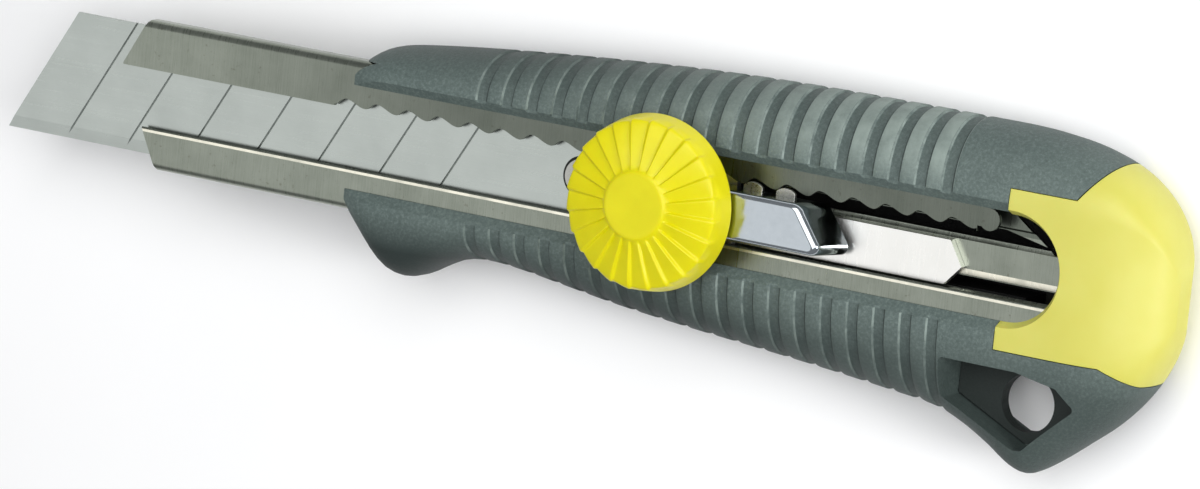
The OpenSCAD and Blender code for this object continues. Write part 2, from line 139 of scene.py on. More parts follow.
# ---------------------------------------------------------------- the handle's section
def curve(points, u):
    """Height of the smooth curve through points at u."""
    px, py = np.array(points, float).T
    slope = np.gradient(py, px)
    slope[1:-1] = (py[2:] - py[:-2]) / (px[2:] - px[:-2])
    i = int(np.clip(np.searchsorted(px, u, "right") - 1, 0, len(px) - 2))
    h = px[i + 1] - px[i]
    t = min(1.0, max(0.0, (u - px[i]) / h))
    s = t * t * (3 - 2 * t)
    bend = h * t * (1 - t) * ((1 - t) * slope[i] - t * slope[i + 1])
    return py[i] * (1 - s) + py[i + 1] * s + bend


def fade(u, start, power):
    """1 up to start, then falling to 0 at the tail like a rounded end."""
    if u <= start:
        return 1.0
    return max(0.0, 1 - ((u - start) / (TAIL_U - start)) ** power) ** (1 / power)


def front_depth(u):
    """How far the front face is from the parting plane; it dips at the nose."""
    taper = 1.3 * ((63.5 - u) / 6) ** 2 if u < 63.5 else 0
    return MID_Z * fade(u, 167, 2.3) - taper


def back_depth(u):
    """How far the back is from the parting plane; it slopes up at the nose."""
    if u < 82:
        return 1 + (MID_Z - 1) * math.sin(math.pi / 2 * (u - 57.5) / 24.5)
    return MID_Z * fade(u, 167, 2.3)


def face_top(u):
    """Upper edge of the flat front face."""
    return 7 + (FACE_V1 - 7) * fade(u, 172, 2.4)


def face_low(u):
    """Lower edge of the flat front face."""
    return 5 - (5 - FACE_V0) * fade(u, 172, 2.4)


def round_off(u):
    """Shrinks the outline towards the tail."""
    return min(1.0, (TAIL_U - u) / 11) ** 0.61


def spine(u):
    """Upper outline of the handle."""
    return face_top(u) + (curve(SPINE, min(u, 172)) - FACE_V1) * round_off(u)


def belly(u):
    """Lower outline of the handle."""
    return face_low(u) + (curve(BELLY, min(u, 172)) - FACE_V0) * round_off(u)


def belly_power(u):
    """How square the section is at the guard, along the grip and at the lug."""
    return 2.7 if u < 76 else 2.1 if u < 148 else 2.3


def quarter(face, edge, depth, power, sink, fades, steps=26):
    """Points (v, distance from the parting plane) from the outline to the face. sink
    lowers them into a groove, which fades out towards the face if fades is set."""
    out = []
    for a in np.linspace(0, 90, steps + 1):
        k = sink * (min(1.0, (90 - a) / 45) if fades else 1.0)
        c, s = math.cos(math.radians(a)), math.sin(math.radians(a))
        reach = edge - face - math.copysign(k, edge - face)
        out.append((face + reach * max(c, 0) ** (2 / power), (depth - k) * s ** (2 / power)))
    return out


def half_ring(u, sink, side):
    """Half of the section, from the spine over the face to the belly: the front half
    for side 1 and the back half for side -1."""
    depth = front_depth(u) if side > 0 else back_depth(u)
    up = quarter(face_top(u), spine(u), depth, 2.1, sink, side < 0)
    down = quarter(face_low(u), belly(u), depth, belly_power(u), sink, side < 0)
    return [(u, v, MID_Z + side * d) for v, d in up + down[::-1]]


def stations():
    """Places [u, sink] of the sections, close together at the nose, grooves and tail."""
    nose = [57.5, 57.54, 57.6, 57.7, 57.85, 58.05, 58.3, 58.65, 59.1, 59.6, 60.2, 61,
            62, 63, 64, 65, 66, 67, 68, 69, 70, 71.5, 73, 74.5, 76, 77.2]
    tail = list(np.arange(153, 171, 0.75)) + list(
        TAIL_U - 12 * (1 - np.linspace(0, 1, 26)) ** 1.7 - 0.12)
    # distance from the groove's edge, share of its depth
    walls = [(0, 0), (0.03, 0.05), (0.07, 0.25), (0.13, 0.75), (0.17, 0.94), (0.22, 1)]
    groove = walls + [(GROOVE_W - x, d) for x, d in walls[::-1]]
    land = 2.6, 3.3
    out = [(u, 0.0) for u in nose]
    for i in range(GROOVES):
        start = GROOVE_U0 + i * GROOVE_PITCH
        out += [(start + x, d * GROOVE_D) for x, d in groove]
        out += [(start + x, 0.0) for x in land]
    return out + [(u, 0.0) for u in tail if u > out[-1][0]]


# ---------------------------------------------------------------- meshes from outlines
def world(points):
    """Blade coordinates in millimetres to the frame in metres."""
    shift = Vector((TIP_X, EDGE_Y, 0))
    return [(Vector(p) + shift) * MM for p in points]


def make(name, points, faces):
    """A new object from points in blade coordinates."""
    mesh = bpy.data.meshes.new(name)
    mesh.from_pydata([tuple(p) for p in world(points)], [], faces)
    mesh.update()
    obj = bpy.data.objects.new(name, mesh)
    bpy.context.scene.collection.objects.link(obj)
    return obj


def loft(name, rings):
    """Closed solid through rings of the same length; the first and last are capped."""
    n, m = len(rings[0]), len(rings)
    faces = [list(range(n)), list(range((m - 1) * n, m * n))[::-1]]
    for i in range(m - 1):
        for j in range(n):
            k = (j + 1) % n
            faces.append((i * n + k, i * n + j, (i + 1) * n + j, (i + 1) * n + k))
    obj = make(name, [p for r in rings for p in r], faces)
    outward(obj.data)
    return obj


def outward(mesh):
    """Turns the faces of a closed mesh outwards."""
    bm = bmesh.new()
    bm.from_mesh(mesh)
    bmesh.ops.recalc_face_normals(bm, faces=bm.faces)
    if bm.calc_volume(signed=True) < 0:
        bmesh.ops.reverse_faces(bm, faces=bm.faces)
    bm.to_mesh(mesh)
    bm.free()


def prism(outline, z0, z1):
    """A cutter with outline (u, v) between two levels."""
    return loft("cutter", [[(u, v, z) for u, v in outline] for z in (z0, z1)])


def bar(section, u0, u1):
    """A cutter with section (v, z) between two places along the knife."""
    return loft("cutter", [[(u, v, z) for v, z in section] for u in (u0, u1)])


def circle(u, v, r, n=72, start=0.0, end=360.0):
    """Points on a circle or, when end - start is less than a turn, on an arc."""
    whole = abs(end - start - 360) < 1e-6
    return [(u + r * math.cos(math.radians(a)), v + r * math.sin(math.radians(a)))
            for a in np.linspace(start, end, n + (not whole), endpoint=not whole)]


def rod(u, v, rings):
    """A turned cutter through rings (level, radius)."""
    return loft("cutter", [[(x, y, z) for x, y in circle(u, v, r)] for z, r in rings])


def rect(u0, u1, v0, v1):
    """Corners of a rectangle."""
    return [(u0, v0), (u1, v0), (u1, v1), (u0, v1)]


def rounded(points, r, n=6):
    """The closed polygon with each corner turned into an arc of radius r."""
    out, m = [], len(points)
    for i in range(m):
        p, a, b = (Vector(points[k % m]).to_2d() for k in (i, i - 1, i + 1))
        da, db = (a - p).normalized(), (b - p).normalized()
        half = da.angle(db) / 2
        reach = min(r / math.tan(half), 0.49 * (a - p).length, 0.49 * (b - p).length)
        radius = reach * math.tan(half)
        centre = p + (da + db).normalized() * (radius / math.sin(half))
        s, e = p + da * reach - centre, p + db * reach - centre
        turn = s.angle_signed(e)
        for t in np.linspace(0, 1, n + 1):
            q = centre + Matrix.Rotation(-turn * t, 2) @ s
            out.append((q.x, q.y))
    return out


CUT = bpy.data.materials.new("cut_face")


def shape(obj, *steps):
    """Applies exact booleans in order. Each step is (operation, cutter)."""
    if not obj.data.materials:
        obj.data.materials.append(bpy.data.materials.new("skin_face"))
    cutters = []
    for operation, cutter in steps:
        cutter.data.materials.append(CUT)
        mod = obj.modifiers.new("cut", "BOOLEAN")
        mod.operation, mod.object, mod.solver = operation, cutter, "EXACT"
        mod.material_mode = "TRANSFER"
        cutters.append(cutter)
    seen = obj.evaluated_get(bpy.context.evaluated_depsgraph_get())
    mesh = bpy.data.meshes.new_from_object(seen)
    obj.modifiers.clear()
    obj.data = mesh
    for cutter in cutters:
        bpy.data.objects.remove(cutter)
    return obj


def soften(obj, width, crease=35.0, segments=2, where=None):
    """Rounds the corners that the cuts left, by width in millimetres. where(u, v, z)
    picks the corners by the middle of each edge."""
    mesh = obj.data
    cut = [i for i, m in enumerate(mesh.materials) if m and m.name.startswith("cut_face")]
    bm = bmesh.new()
    bm.from_mesh(mesh)
    bmesh.ops.remove_doubles(bm, verts=bm.verts, dist=0.012 * MM)
    bmesh.ops.dissolve_degenerate(bm, edges=bm.edges, dist=0.004 * MM)
    sharp = []
    for e in bm.edges:
        if len(e.link_faces) != 2 or e.calc_face_angle(0) < math.radians(crease):
            continue
        middle = (e.verts[0].co + e.verts[1].co) / 2 / MM - Vector((TIP_X, EDGE_Y, 0))
        if (any(f.material_index in cut for f in e.link_faces)
                and (where is None or where(*middle))):
            sharp.append(e)
    bmesh.ops.bevel(bm, geom=sharp, offset=width * MM, segments=segments, profile=0.5,
                    affect="EDGES", clamp_overlap=True)
    for f in bm.faces:
        f.material_index = 0
    bm.to_mesh(mesh)
    bm.free()
    return obj


def finish_piece(obj, name, material, body, node, crease=42.0):
    """Names the piece, smooths it between its corners and ties it to the frame."""
    obj.name = obj.data.name = name
    obj.data.materials.clear()
    obj.data.materials.append(material)
    smooth(obj, crease)
    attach(obj, body)
    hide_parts(node)
    return obj


def smooth(obj, crease):
    """Smooth shading between edges sharper than crease, in degrees."""
    obj.data.polygons.foreach_set("use_smooth", [True] * len(obj.data.polygons))
    obj.data.set_sharp_from_angle(angle=math.radians(crease))
    mod = obj.modifiers.new("even_normals", "WEIGHTED_NORMAL")
    mod.keep_sharp = True


# ---------------------------------------------------------------- materials
class Nodes:
    """Short way to write a material's node tree."""

    def __init__(self, name):
        self.material = bpy.data.materials.new(name)
        self.material.use_nodes = True
        self.tree = self.material.node_tree
        self.shader = self.tree.nodes["Principled BSDF"]
        self.place = self.add("ShaderNodeTexCoord").outputs["Object"]

    def add(self, kind, inputs=(), **settings):
        """A new node with its inputs and settings."""
        node = self.tree.nodes.new(kind)
        for key, value in settings.items():
            setattr(node, key, value)
        for key, value in dict(inputs).items():
            self.put(node.inputs[key], value)
        return node

    def put(self, socket, value):
        """Links value to socket, or sets it when it is a constant."""
        if isinstance(value, bpy.types.NodeSocket):
            self.tree.links.new(value, socket)
        else:
            socket.default_value = value

    def stretch(self, scale):
        """Object coordinates in millimetres, multiplied by scale."""
        node = self.add("ShaderNodeMapping", {"Vector": self.place})
        node.inputs["Scale"].default_value = [s / MM for s in scale]
        return node.outputs["Vector"]

    def noise(self, scale, detail=3.0, roughness=0.5, vector=None):
        """Noise from 0 to 1; scale is in waves per millimetre."""
        node = self.add("ShaderNodeTexNoise", {
            "Vector": vector or self.stretch((1, 1, 1)), "Scale": scale,
            "Detail": detail, "Roughness": roughness})
        return node.outputs["Fac"]

    def spread(self, value, low, high, start=0.0, end=1.0):
        """low where value is start, high where it is end, and even between them."""
        node = self.add("ShaderNodeMapRange", {
            "Value": value, "From Min": start, "From Max": end,
            "To Min": low, "To Max": high})
        return node.outputs["Result"]

    def ramp(self, value, *stops):
        """Colours (place, linear colour) along value."""
        node = self.add("ShaderNodeValToRGB", {"Fac": value})
        ramp = node.color_ramp
        while len(ramp.elements) < len(stops):
            ramp.elements.new(0.5)
        for element, (place, colour) in zip(ramp.elements, stops):
            element.position, element.color = place, (*colour, 1.0)
        return node.outputs["Color"]

    def mix(self, factor, a, b):
        """a where factor is 0 and b where it is 1."""
        node = self.add("ShaderNodeMix", data_type="RGBA")
        self.put(node.inputs[0], factor)
        self.put(node.inputs[6], a)
        self.put(node.inputs[7], b)
        return node.outputs[2]

    def tint(self, factor, base, code):
        """base turned towards a #RRGGBB colour by factor."""
        return self.mix(factor, base, (*srgb(code), 1))

    def bump(self, height, depth, strength=1.0, after=None):
        """depth is the relief in millimetres."""
        node = self.add("ShaderNodeBump", {
            "Height": height, "Distance": depth * MM, "Strength": strength})
        if after:
            self.put(node.inputs["Normal"], after)
        return node.outputs["Normal"]

    def uvz(self):
        """Place in blade coordinates, in millimetres."""
        node = self.add("ShaderNodeSeparateXYZ", {"Vector": self.stretch((1, 1, 1))})
        x, y, z = node.outputs
        return self.math("SUBTRACT", x, TIP_X), self.math("SUBTRACT", y, EDGE_Y), z

    def math(self, operation, a, b):
        """One step of arithmetic on sockets or numbers."""
        node = self.add("ShaderNodeMath", operation=operation)
        self.put(node.inputs[0], a)
        self.put(node.inputs[1], b)
        return node.outputs[0]

    def above(self, value, low):
        """1 where value is more than low, otherwise 0."""
        return self.math("GREATER_THAN", value, low)

    def below(self, value, high):
        """1 where value is less than high, otherwise 0."""
        return self.math("LESS_THAN", value, high)

    def product(self, first, *others):
        """All the values multiplied."""
        for other in others:
            first = self.math("MULTIPLY", first, other)
        return first

    def inside(self, value, low, high):
        """1 where value lies between low and high, otherwise 0."""
        return self.product(self.above(value, low), self.below(value, high))

    def set(self, **inputs):
        """Sets the shader's inputs and gives back the material."""
        for key, value in inputs.items():
            self.put(self.shader.inputs[key.replace("_", " ")], value)
        return self.material


def srgb(code):
    """A #RRGGBB colour as linear red, green and blue."""
    parts = [int(code[i:i + 2], 16) / 255 for i in (1, 3, 5)]
    return tuple(c / 12.92 if c <= 0.04045 else ((c + 0.055) / 1.055) ** 2.4 for c in parts)


def grip_plastic():
    """Dark grey-green moulding with a spark-eroded texture."""
    n = Nodes("grip_plastic")
    speckle = n.noise(2.4, 4, 0.75)
    base = n.ramp(n.noise(0.09, 4), (0.3, srgb("#53605D")), (0.7, srgb("#5D6A66")))
    base = n.tint(n.spread(speckle, 0.0, 0.6, 0.5, 0.8), base, "#83918C")
    base = n.tint(n.spread(speckle, 0.55, 0.0, 0.25, 0.5), base, "#38433F")
    u, v, z = n.uvz()
    # painted light and shade on the grooves, the flanks and the hollows
    base = groove_painted_light(n, base, u, v)
    base = flank_shade(n, base, u, v)
    base = hollow_shade(n, base, u, v, z)
    grain = n.bump(n.noise(2.8, 5, 0.7), 0.09, 0.7)
    return n.set(Base_Color=base, Roughness=n.spread(speckle, 0.55, 0.7),
                 Normal=n.bump(n.noise(0.5, 2), 0.05, 0.3, grain), Specular_IOR_Level=0.35)


def off_middle(n, v):
    """Distance from the middle of the front face."""
    return n.math("ABSOLUTE", n.math("SUBTRACT", v, FACE_MID), 0.0)


def groove_painted_light(n, base, u, v):
    """Painted highlight on each groove's wall near the nose, painted shade on its other wall
    and floor; the lands between them are painted paler towards the tail and the spine."""
    along = n.math("SUBTRACT", u, GROOVE_U0)
    phase = n.math("FLOORED_MODULO", along, GROOVE_PITCH)
    sides = n.math("SUBTRACT", 1.0, n.inside(v, FACE_V0 - 0.05, FACE_V1 + 0.05))
    patchy = n.spread(n.noise(0.4, 3), 0.6, 1.0, 0.3, 0.6)
    grooved = n.product(n.inside(along, 0, GROOVES * GROOVE_PITCH - 2), sides, patchy)
    patchy_highlight = n.spread(n.noise(0.5, 4, 0.6), 0.1, 1.0, 0.35, 0.65)
    # painted highlight, in patches, on each groove's wall near the nose
    base = n.tint(n.product(grooved, patchy_highlight, n.inside(phase, 0.03, 0.2)), base, "#8F9C96")
    # painted shade on the groove's floor
    base = n.tint(n.product(grooved, n.inside(phase, 0.3, 1.6), 0.3), base, "#333D3B")
    # painted shade on the groove's wall towards the tail
    base = n.tint(n.product(grooved, n.inside(phase, 1.6, 1.92), 0.75), base, "#1F2725")
    # painted light on the lands, stronger towards the tail and the spine
    land = n.product(grooved, n.inside(phase, 1.95, 4.0), n.spread(along, 0.0, 0.8, 5, 60),
                     n.spread(off_middle(n, v), 0.2, 1.0, 9, 12.5), n.spread(v, 0.12, 1.0, 0, 17))
    return n.tint(land, base, "#93A099")


def flank_shade(n, base, u, v):
    """Darker flanks, most of all at the nose and on the belly side."""
    along = n.math("SUBTRACT", u, GROOVE_U0)
    belly_side = n.product(n.below(v, 0), 0.42)
    strength = n.math("ADD", n.spread(along, 0.76, 0.16, -5, 55), belly_side)
    flank = n.product(n.spread(off_middle(n, v), 0.0, 1.0, 9.3, 15.5), strength)
    return n.tint(flank, base, "#26302E")


def hollow_shade(n, base, u, v, z):
    """Nearly black trench under the rail and dark pocket in the lug."""
    trench = [n.product(n.above(u, start), n.above(z, floor - 0.1))
              for (start, _), floor in TRENCH]
    trench = n.product(n.inside(v, 0.4, 16.4), n.below(z, RAIL_BOTTOM - 0.1),
                       n.math("MAXIMUM", *trench))
    base = n.tint(trench, base, "#0B0C0B")
    along = n.math("SUBTRACT", u, 152)
    guard_side = n.above(n.math("ADD", v, n.product(along, 0.48)), -11.3)
    tail_side = n.above(n.math("SUBTRACT", v, n.product(along, 0.88)), -27.1)
    pocket = n.product(n.inside(v, -15.7, -5.2), n.inside(z, MID_Z - WEB - 0.1, MID_Z + WEB + 0.1),
                       n.inside(along, 0, 19.5), guard_side, tail_side, 0.85)
    return n.tint(pocket, base, "#141B19")


def cap_plastic():
    """Smooth yellow moulding, satin with a slight ripple and painted shade inside."""
    n = Nodes("cap_plastic")
    base = n.ramp(n.noise(0.12, 3), (0.3, srgb("#C1BC50")), (0.7, srgb("#C7C35F")))
    scuff = n.noise(1.1, 6, 0.75)
    u, v, z = n.uvz()
    # painted shade: nearly black inside the cap, round the rail and the carrier
    painted_inner_shade = n.product(n.inside(v, 1.2, 15.2), n.inside(z, 2.5, RAIL_BOTTOM + 0.3),
                     n.below(u, 176.2))
    base = n.tint(painted_inner_shade, base, "#15150C")
    return n.set(Base_Color=base, Roughness=n.spread(scuff, 0.42, 0.56, 0.3, 0.8),
                 Normal=n.bump(n.noise(0.35, 3), 0.03, 0.4),
                 Subsurface_Weight=0.08, Subsurface_Scale=0.002)


def wheel_plastic():
    """Saturated yellow moulding with a satin skin."""
    n = Nodes("wheel_plastic")
    base = n.ramp(n.noise(0.3, 4), (0.3, srgb("#CFC600")), (0.7, srgb("#D6CD06")))
    scuff = n.noise(1.6, 5, 0.7)
    return n.set(Base_Color=base, Roughness=n.spread(scuff, 0.32, 0.46, 0.3, 0.8),
                 Normal=n.bump(n.noise(0.6, 3), 0.03, 0.4), Specular_IOR_Level=0.32,
                 Subsurface_Weight=0.08, Subsurface_Scale=0.002)


def brushed(name, low, high, rough, across=(4.0, 0.12, 1.0), relief=0.012, specks=0.0,
            painted_light=None):
    """Steel with a grain: across is how fine the streaks are along each axis. The last argument
    paints light and shade into the base colour by place."""
    n = Nodes(name)
    streak = n.noise(1.6, 6, 0.72, n.stretch(across))
    cloud = n.noise(0.16, 4, 0.6)
    tone = n.spread(n.mix(0.4, streak, cloud), 0.0, 1.0, 0.3, 0.7)
    base = n.ramp(tone, (0.0, srgb(low)), (1.0, srgb(high)))
    if specks:
        spots = n.spread(n.noise(1.3, 2), 0.0, specks, 0.68, 0.74)
        base = n.tint(spots, base, "#5A5648")
    # painted light and shade by place, where given
    if painted_light:
        base = painted_light(n, base)
    return n.set(Base_Color=base, Metallic=1.0,
                 Roughness=n.spread(streak, rough - 0.06, rough + 0.08, 0.3, 0.7),
                 Normal=n.bump(streak, relief, 0.5))


def rail_painted_light(n, base):
    """Painted shade along the notched lip and painted highlights on the lip and track edges."""
    u, v, z = n.uvz()
    # painted shade on the notched lip, growing from u 30 to 75
    painted_shade = n.product(n.inside(v, 12.0, 19.5), n.spread(u, 0.0, 0.55, 30, 75))
    base = n.tint(painted_shade, base, "#39403A")
    # painted highlights on the lower lip's rolled edge and on an edge of the floor's track
    lip = n.product(n.inside(v, LIP_V0 - 0.62, LIP_V0 - 0.26), n.above(z, RAIL_TOP - 0.45))
    track = n.product(n.inside(v, 5.6, 6.42), n.inside(z, RAIL_BOTTOM + 0.1, FLOOR_TOP + 0.02))
    painted_highlight = n.product(n.math("MAXIMUM", lip, track),
                         n.spread(n.noise(0.3, 3), 0.6, 1.0, 0.3, 0.6))
    return n.tint(painted_highlight, base, "#F6F2E0")


def blade_painted_shade(n, base):
    """Painted shade in the gap between the blade and its peg."""
    u, v, _ = n.uvz()
    centre = (lowest("blade_peg") + highest("blade_peg")) / 2
    reach = highest("blade_peg").x - centre.x
    along = n.math("POWER", n.math("SUBTRACT", u, centre.x - TIP_X), 2.0)
    across = n.math("POWER", n.math("SUBTRACT", v, centre.y - EDGE_Y), 2.0)
    # painted shade: a dark ring round the peg
    gap_shade = n.inside(n.math("ADD", along, across), (reach + 0.05) ** 2, (reach + 0.42) ** 2)
    return n.tint(gap_shade, base, "#2A2C2A")


# ---------------------------------------------------------------- the handle
def slot_section():
    """Section of the slot above the rail: straight, then a wide chamfer."""
    v0, v1, ledge = 1.0, 15.5, RAIL_TOP + 0.15
    lead = 1.6
    return [(v0, RAIL_TOP - 1), (v0, ledge), (FACE_V0, HANDLE_H), (FACE_V0 - lead, HANDLE_H + 2),
            (FACE_V1 + lead, HANDLE_H + 2), (FACE_V1, HANDLE_H), (v1, ledge), (v1, RAIL_TOP - 1)]


def cap_outline(g):
    """The end cap seen from the front, grown by g."""
    return [(160.1 - g, -2.65 - g), (175, -2.65 - g), (179.6, -4.65 - g), (192, -4.8 - g),
            (192, 29.8), (177.6 - g, 29.8), (169.8 - g, 18.75 + g), (160.1 - g, 18.75 + g)]


def lug_pocket(g=0.0):
    """The pocket round the lanyard hole."""
    return [(152.0 + g, -5.1 - g), (163.5, -5.1 - g), (169.5 - g, -6.3 - g),
            (172.1 - g, -8.9), (167.1, -13.3 + g), (164.3, -15.9 + g),
            (163.1, -16.0 + g), (152.0 + g, -10.7 + g)]


def rail_room(u0, u1):
    """A cutter for the seat of the rail."""
    return bar(rect(RAIL_V0 - PLAY, RAIL_V1 + PLAY, RAIL_BOTTOM - PLAY, RAIL_TOP + 0.02), u0, u1)


def slot_edge(u, v, z):
    """The long edges where the slot's chamfer meets the front face."""
    return z > RAIL_TOP + 0.3 and u < 159.5 and -1.0 < v < 17.5


def front_grip(upper):
    """One of the two front mouldings, above or below the slot."""
    rings = [half_ring(u, sink, 1)[::-1] for u, sink in stations()]
    obj = loft("grip", rings)
    away = (-90, WHEEL_V) if upper else (WHEEL_V, 90)
    under_rail = rect(RAIL_V0 - PLAY, RAIL_V1 + PLAY, MID_Z - 1, RAIL_BOTTOM)
    shape(obj,
          ("DIFFERENCE", prism(rect(*ALONG, *away), BEHIND, BEFORE)),
          ("DIFFERENCE", bar(slot_section(), *ALONG)),
          ("DIFFERENCE", rail_room(*ALONG)),
          ("DIFFERENCE", bar(under_rail, *ALONG)),
          ("DIFFERENCE", prism(cap_outline(GAP), BEHIND, BEFORE)),
          ("DIFFERENCE", prism(rounded(lug_pocket(), 0.7), BEHIND, BEFORE)))
    soften(obj, 0.15, where=slot_edge)
    return finish_piece(obj, "upper_grip_moulding" if upper else "lower_grip_moulding",
                        GRIP, "handle", "upper_grip" if upper else "lower_grip")


def rear_shell():
    """Rear half of the handle, with the web of the lug and the trench under the rail."""
    rings = [half_ring(u, sink, -1) for u, sink in stations()]
    obj = loft("rear", rings)
    web = prism(lug_pocket(0.1), MID_Z - WEB, MID_Z + WEB)
    steps = [("DIFFERENCE", prism(rounded(lug_pocket(), 0.7), BEHIND, MID_Z - WEB)),
             ("UNION", web),
             ("DIFFERENCE", rail_room(*ALONG)),
             ("DIFFERENCE", rod(HOLE_U, HOLE_V, [(BEHIND, HOLE_R), (40, HOLE_R)])),
             ("DIFFERENCE", prism(cap_outline(GAP), BEHIND, BEFORE))]
    for u, v, seat in SCREWS:
        well = [(-5, SCREW_WELL_R), (seat + SCREW_HEAD, SCREW_WELL_R)]
        steps.append(("DIFFERENCE", rod(u, v, well)))
    steps.append(("DIFFERENCE", prism(LUG_BACK, BEHIND, LUG_BACK_Z)))
    for (u0, u1), floor in TRENCH:
        steps.append(("DIFFERENCE", prism(rect(u0, u1, *TRENCH_V), floor, MID_Z + 9)))
    shape(obj, *steps)
    return finish_piece(obj, "rear_shell_moulding", GRIP, "handle", "rear_shell")


def end_cap():
    """Yellow cap: the tail of the handle's loft inside the cap's outline."""
    rings = [half_ring(u, 0, 1)[::-1] + half_ring(u, 0, -1)[1:-1]
             for u, _ in stations() if u > 157]
    obj = loft("cap", rings)
    centre_u, centre_v, r, lead = 160.8, 8.15, 7.1, 0.7
    half = r + lead
    channel = [(centre_v - r, RAIL_BOTTOM), (centre_v + r, RAIL_BOTTOM),
               (centre_v + r, RAIL_TOP), (centre_v + half, HANDLE_H),
               (centre_v + half, HANDLE_H + 2), (centre_v - half, HANDLE_H + 2),
               (centre_v - half, HANDLE_H), (centre_v - r, RAIL_TOP)]
    mouth = [(RAIL_BOTTOM, r), (RAIL_TOP, r), (HANDLE_H, half), (HANDLE_H + 2, half)]
    carrier = rect(3.2, 10.8, lowest("blade_carrier").z - 0.3, highest("blade_carrier").z + 0.3)
    core_v, core_z, rail_end = (1.4, 15), 2.6, 172.3
    shape(obj,
          ("INTERSECT", prism(cap_outline(0), BEHIND, BEFORE)),
          ("DIFFERENCE", rod(centre_u, centre_v, mouth)),
          ("DIFFERENCE", bar(channel, 140, centre_u)),
          ("DIFFERENCE", rail_room(140, rail_end)),
          ("DIFFERENCE", bar(carrier, 140, 178.6)),
          ("DIFFERENCE", bar(rect(*core_v, core_z, RAIL_BOTTOM), 140, rail_end)),
          ("DIFFERENCE", bar(rect(*core_v, core_z, 9.6), 140, 176)))
    soften(obj, 0.2, segments=3)
    return finish_piece(obj, "end_cap_moulding", CAP, "cap", "end_cap")


# ---------------------------------------------------------------- the rail
NOTCH_PITCH, NOTCH_U0, WAVE_END = 5.0, 56.4, 155.2


def wave(u):
    """Edge of the notched lip at u: low on the tips and high in the notches."""
    s = ((u - NOTCH_U0) / NOTCH_PITCH) % 1
    c = math.cos(math.pi * s / 0.65) if s < 0.65 else -math.cos(math.pi * (s - 0.65) / 0.35)
    low, high = LIP_V1 + 0.25, LIP_V1 + 1.2
    return low + (high - low) * (1 + c) / 2


def rail_section():
    """Closed outline (v, z) of the folded sheet, with rolled corners and lip edges."""
    outer, inner = 1.1, 0.5
    v0, v1, b, t = RAIL_V0, RAIL_V1, RAIL_BOTTOM, RAIL_TOP

    def arc(v, z, r, start, end):
        return circle(v, z, r, 8, start, end)

    path = [*arc(LIP_V0 - 0.3, t - 0.3, 0.3, 0, 90), *arc(v0 + outer, t - outer, outer, 90, 180),
            *arc(v0 + outer, b + outer, outer, 180, 270),
            *arc(v1 - outer, b + outer, outer, 270, 360),
            *arc(v1 - outer, t - outer, outer, 0, 90), (LIP_V1, t), (LIP_V1, t - RAIL_T)]
    v0, v1, b, t = v0 + RAIL_T, v1 - RAIL_T, b + RAIL_T, t - RAIL_T
    track = [(12.9, b), (12.6, b - 0.3), (10.7, b - 0.3), (10.2, b), (6.35, b),
             (5.55, b - 0.3), (3.6, b - 0.3), (3.3, b)]
    path += [*arc(v1 - inner, t - inner, inner, 90, 0), *arc(v1 - inner, b + inner, inner, 0, -90),
             *track,
             *arc(v0 + inner, b + inner, inner, 270, 180),
             *arc(v0 + inner, t - inner, inner, 180, 90), (LIP_V0 - 0.1, t)]
    return path


def blade_rail():
    """Folded rail: the notched lip, the nub at its end and the slots in its floor."""
    start, end = 19.0, 172.0
    obj = loft("rail", [[(u, v, z) for v, z in rail_section()] for u in (start, end)])
    low, high = FLOOR_TOP + 0.5, RAIL_TOP + 1
    mouth = [(10, 25), (23.9, 20.8), (19.3, 12.4), (19.4, 11.9), (23.4, 3.6), (26.6, -2.8),
             (10, -5)]
    teeth = [(NOTCH_U0 - 1.8, LIP_V1 - 1)] + [
        (u, wave(u)) for u in np.arange(NOTCH_U0 - 1.75, WAVE_END, 0.125)] + [
        (WAVE_END, LIP_V1 - 1)]
    nub_u, nub_v, nub_r = 156.9, 13.95, 1.5
    tail = [(WAVE_END, LIP_V1 - 1), (end + 2, LIP_V1 - 1), (end + 2, 17.0),
            (nub_u, 17.0), *circle(nub_u, nub_v, nub_r, 28, 90, -135.6), (WAVE_END, 12.9)]
    corner = [(159.4, 14.7), (165.5, 10.3), (end + 2, 10.3), (end + 2, 25), (159.4, 25)]
    steps = [("DIFFERENCE", prism(mouth, RAIL_BOTTOM - 1, high)),
             ("DIFFERENCE", prism(teeth, low, high)),
             ("DIFFERENCE", prism(tail, low, high)),
             ("DIFFERENCE", prism(corner, RAIL_BOTTOM - 1, high))]
    slots = [rect(60, 170, 3.7, 5.45),
             [(60, 10.8), (165, 10.8), (165, 11.05), (158, 12.5), (60, 12.5)]]
    for slot in slots:
        steps.append(("DIFFERENCE", prism(rounded(slot, 0.8, 8), RAIL_BOTTOM - 1,
                                          FLOOR_TOP + 0.2)))
    shape(obj, *steps)
    soften(obj, 0.07)
    return finish_piece(obj, "blade_rail_folded", RAIL, "handle", "blade_rail", 28)


# ---------------------------------------------------------------- wheel and lock plate
FLUTES = 24


def saw(phase):
    """One flute: a long slope up and a short rounded drop."""
    p = phase % 1
    return p / 0.84 if p < 0.84 else 0.5 + 0.5 * math.cos(math.pi * (p - 0.84) / 0.16)


